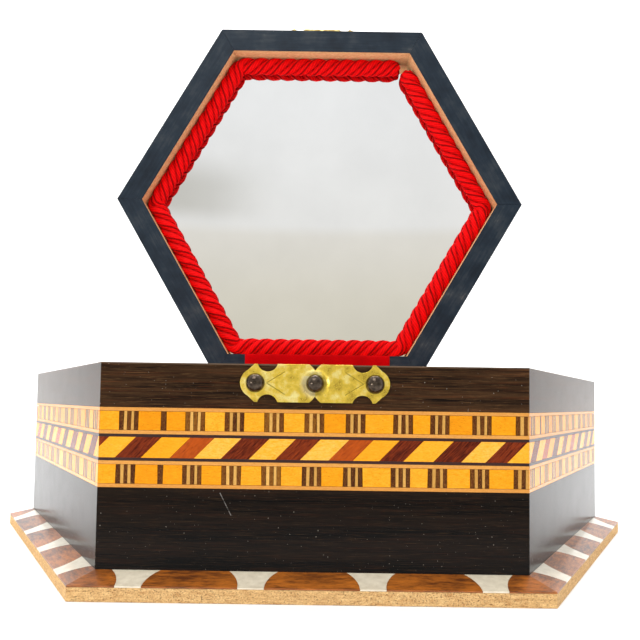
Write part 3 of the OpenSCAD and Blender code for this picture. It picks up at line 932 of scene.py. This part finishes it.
def cord_station(s):
    """Centre and outward direction at distance s along the cord, in the lid's own plane."""
    arc = math.radians(60) * CORD_BEND
    first = 2 * cord_run - CORD_END_CUT
    side, along = 1, s + CORD_END_CUT
    while True:
        if along <= 2 * cord_run or side == 6:
            turn = math.radians(60 * side - 90)
            out = Vector((math.cos(turn), math.sin(turn)))
            go = Vector((-out.y, out.x))
            return out * CORD_PATH + go * (along - cord_run), out
        along -= 2 * cord_run
        if along <= arc:
            middle = math.radians(60 * (side - 1))
            turn = middle - math.radians(30) + along / CORD_BEND
            out = Vector((math.cos(turn), math.sin(turn)))
            centre = Vector((math.cos(middle), math.sin(middle))) * corner_out
            return centre + out * CORD_BEND, out
        along -= arc
        side += 1


cord_length = 12 * cord_run - CORD_END_CUT + 5 * math.radians(60) * CORD_BEND
rings = int(cord_length / RING_STEP)
cord_verts, cord_faces, cord_lay = [], [], []
for strand in range(3):
    centres, spots = [], []
    for k in range(rings + 1):
        s = cord_length * k / rings
        spot, out = cord_station(s)
        angle = 2 * math.pi * (s / LAY + strand / 3)
        spots.append(spot)
        snug = STRAND_OUT * (1 - 0.35 * max(0, 1 - min(s, cord_length - s) / 2.5))
        centres.append((
            spot.x + out.x * snug * math.cos(angle),
            spot.y + out.y * snug * math.cos(angle),
            snug * math.sin(angle),
            angle, out,
        ))
    for k, (x, y, w, angle, out) in enumerate(centres):
        before, after = centres[max(0, k - 1)], centres[min(rings, k + 1)]
        go = Vector((after[0] - before[0], after[1] - before[1], after[2] - before[2])).normalized()
        swell = Vector((out.x * math.cos(angle), out.y * math.cos(angle), math.sin(angle)))
        swell = (swell - go * swell.dot(go)).normalized()
        cross = go.cross(swell)
        close = min(k, rings - k) * RING_STEP
        girth = STRAND_R * min(1, 0.72 + 0.28 * close / 1.2)
        for j in range(STRAND_SIDES):
            around = 2 * math.pi * j / STRAND_SIDES
            yarn = 1 + 0.03 * math.sin(3 * around + k * 1.3)
            p = swell * math.cos(around) * girth * yarn * 0.98 + cross * math.sin(around) * girth * 1.1
            off = Vector((x + p.x - spots[k].x, y + p.y - spots[k].y))
            reach = off.dot(out)
            off += out * (min(reach * CORD_WIDER, 2.88) - reach)
            cord_verts.append((
                spots[k].x + off.x, spots[k].y + off.y,
                min((w + p.z) * CORD_FLATTER, MIRROR_Y - CORD_Y - 0.02),
            ))
            cord_lay.append((j / STRAND_SIDES, k * cord_length / rings))
    base = strand * (rings + 1) * STRAND_SIDES
    for k in range(rings):
        for j in range(STRAND_SIDES):
            n = (j + 1) % STRAND_SIDES
            a, b = base + k * STRAND_SIDES, base + (k + 1) * STRAND_SIDES
            cord_faces.append((a + j, a + n, b + n, b + j))
    cord_faces.append(tuple(base + j for j in range(STRAND_SIDES - 1, -1, -1)))
    cord_faces.append(tuple(base + rings * STRAND_SIDES + j for j in range(STRAND_SIDES)))

# The lid's plane points (x, y, w) stand upright when it is open: y runs up, w runs to the mirror.
cord = link_mesh(
    "twisted_cord",
    [(x, CORD_Y + w, LID_MIDDLE_Z - y) for x, y, w in cord_verts],
    cord_faces, smooth=True,
)


def cord_yarn(name):
    """Shiny red yarn: fine threads run round each strand, with sheen on the fuzz, and painted shade in
    the grooves between strands.
    """
    f = Finish(bpy.data.materials.new(name))
    lay_at = f.add("ShaderNodeAttribute", {"attribute_name": "lay"}, out="Vector")
    round_it, along = (f.add("ShaderNodeSeparateXYZ", None, {0: lay_at}, out=k) for k in (0, 1))
    threads = f.add(
        "ShaderNodeMath", {"operation": "SINE"}, {0: (round_it * 9 + along * 0.55) * (2 * math.pi)}
    ) * 0.5 + 0.5
    fuzz = f.noise(f.place(), 3.2, 4, 0.7)
    patch = f.noise(f.place(), 0.35, 2)
    # Painted shade: each strand is lighter on its crest and darker in the grooves between strands.
    crest_lit_groove_shade = f.add("ShaderNodeMath", {"operation": "COSINE"}, {0: round_it * (2 * math.pi)})
    tone = threads * 0.2 + fuzz * 0.3 + patch * 0.2 + crest_lit_groove_shade.between(-0.1, 0.85) * 0.35
    body = f.ramp(
        tone, (0.25, colour(118, 0, 1)), (0.5, colour(206, 0, 3)), (0.8, colour(250, 3, 8)),
    )
    return f.surface(
        Base_Color=body, Roughness=0.6, Specular_IOR_Level=0.08, Sheen_Weight=0.1,
        Sheen_Roughness=0.35, Sheen_Tint=(1.0, 0.08, 0.08, 1),
        Normal=f.bump(threads * 0.5 + fuzz * 0.5, 0.10),
    )


lay_marks = cord.data.attributes.new("lay", "FLOAT_VECTOR", "POINT")
for k, (around, along) in enumerate(cord_lay):
    lay_marks.data[k].vector = (around, along, 0)
paint(cord, cord_yarn("cord_yarn"))
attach(cord, "lid")
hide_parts("mirror_cord")

# ---- Velvet hinge strip ----
# One strip of thin red velvet joins lid and body inside. It comes out from under the cord, lies
# on the lid's rear rail, crosses the joint, and goes over the rim and down inside the body.

STRIP_W, STRIP_T = 49.4, 0.28
strip_line = [
    (LID_RIM_Y + 3.0, RIM_Z + 9.93), (LID_RIM_Y + 0.4, RIM_Z + 9.91),
    (LID_RIM_Y - 0.02, RIM_Z + 9.8), (LID_RIM_Y - 0.14, RIM_Z + 9.5),
    (LID_RIM_Y - 0.16, RIM_Z + 7.5), (LID_RIM_Y - 0.16, RIM_Z + 5.5),
    (LID_RIM_Y - 0.2, RIM_Z + 3.9), (61.5, RIM_Z + 2.9), (60.95, RIM_Z + 1.8),
    (60.35, RIM_Z + 0.9), (59.85, RIM_Z + 0.35), (59.3, RIM_Z + 0.17), (58.0, RIM_Z + 0.16),
    (56.5, RIM_Z + 0.16), (54.5, RIM_Z + 0.16), (53.3, RIM_Z + 0.1), (53.08, RIM_Z - 0.2),
    (53.08, RIM_Z - 2.5), (53.08, RIM_Z - 5.5), (53.08, RIM_Z - 8.5),
]
strip_columns = 40
strip_verts, strip_faces = [], []
for face in (-1, 1):
    for k, (y, z) in enumerate(strip_line):
        before, after = strip_line[max(0, k - 1)], strip_line[min(len(strip_line) - 1, k + 1)]
        along = Vector((after[0] - before[0], after[1] - before[1])).normalized()
        off = Vector((along.y, -along.x)) * face * STRIP_T / 2
        for c in range(strip_columns + 1):
            x = STRIP_W * (c / strip_columns - 0.5)
            ripple = 0.03 * math.sin(c * 0.9 + k * 0.5)
            strip_verts.append((x, y + off.x + ripple * off.x, z + off.y))
row = strip_columns + 1
sheet_size = len(strip_line) * row
for k in range(len(strip_line) - 1):
    for c in range(strip_columns):
        a = k * row + c
        strip_faces.append((a, a + 1, a + row + 1, a + row))
        b = a + sheet_size
        strip_faces.append((b, b + row, b + row + 1, b + 1))
rim = (
    [c for c in range(row)]
    + [k * row + strip_columns for k in range(1, len(strip_line))]
    + [(len(strip_line) - 1) * row + c for c in range(strip_columns - 1, -1, -1)]
    + [k * row for k in range(len(strip_line) - 2, 0, -1)]
)
for a, b in zip(rim, rim[1:] + rim[:1]):
    strip_faces.append((b, a, a + sheet_size, b + sheet_size))
strip = link_mesh("velvet_strip", strip_verts, strip_faces, smooth=True)
paint(strip, red_velvet)
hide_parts("velvet_hinge_strip")
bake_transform(strip)

# ---- Lid top inlay ----
# The lid's top is veneered: dark edge boards, an amber and dark band, a walnut field, and a
# six-rayed star of pearl and ebony halves with amber tips between the rays.

paint(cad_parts["top_edge_boards"], rosewood("top_rosewood", (0.9, 1, 0.9), 900))
paint(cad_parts["top_band"], lacquered_wood(
    "top_amber", colour(250, 186, 44), colour(236, 156, 20), (1, 1, 1), coat=0.4))
paint(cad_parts["top_field"], lacquered_wood(
    "top_walnut", colour(150, 88, 46), colour(84, 44, 24), (0.15, 1, 2.4), coat=0.4))
paint(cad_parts["top_star_light"], pearl_resin)
paint(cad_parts["top_star_dark"], string_ebony)
paint(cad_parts["top_star_tips"], lacquered_wood(
    "tip_amber", colour(246, 180, 50), colour(222, 140, 22), (1, 1, 1), coat=0.4))
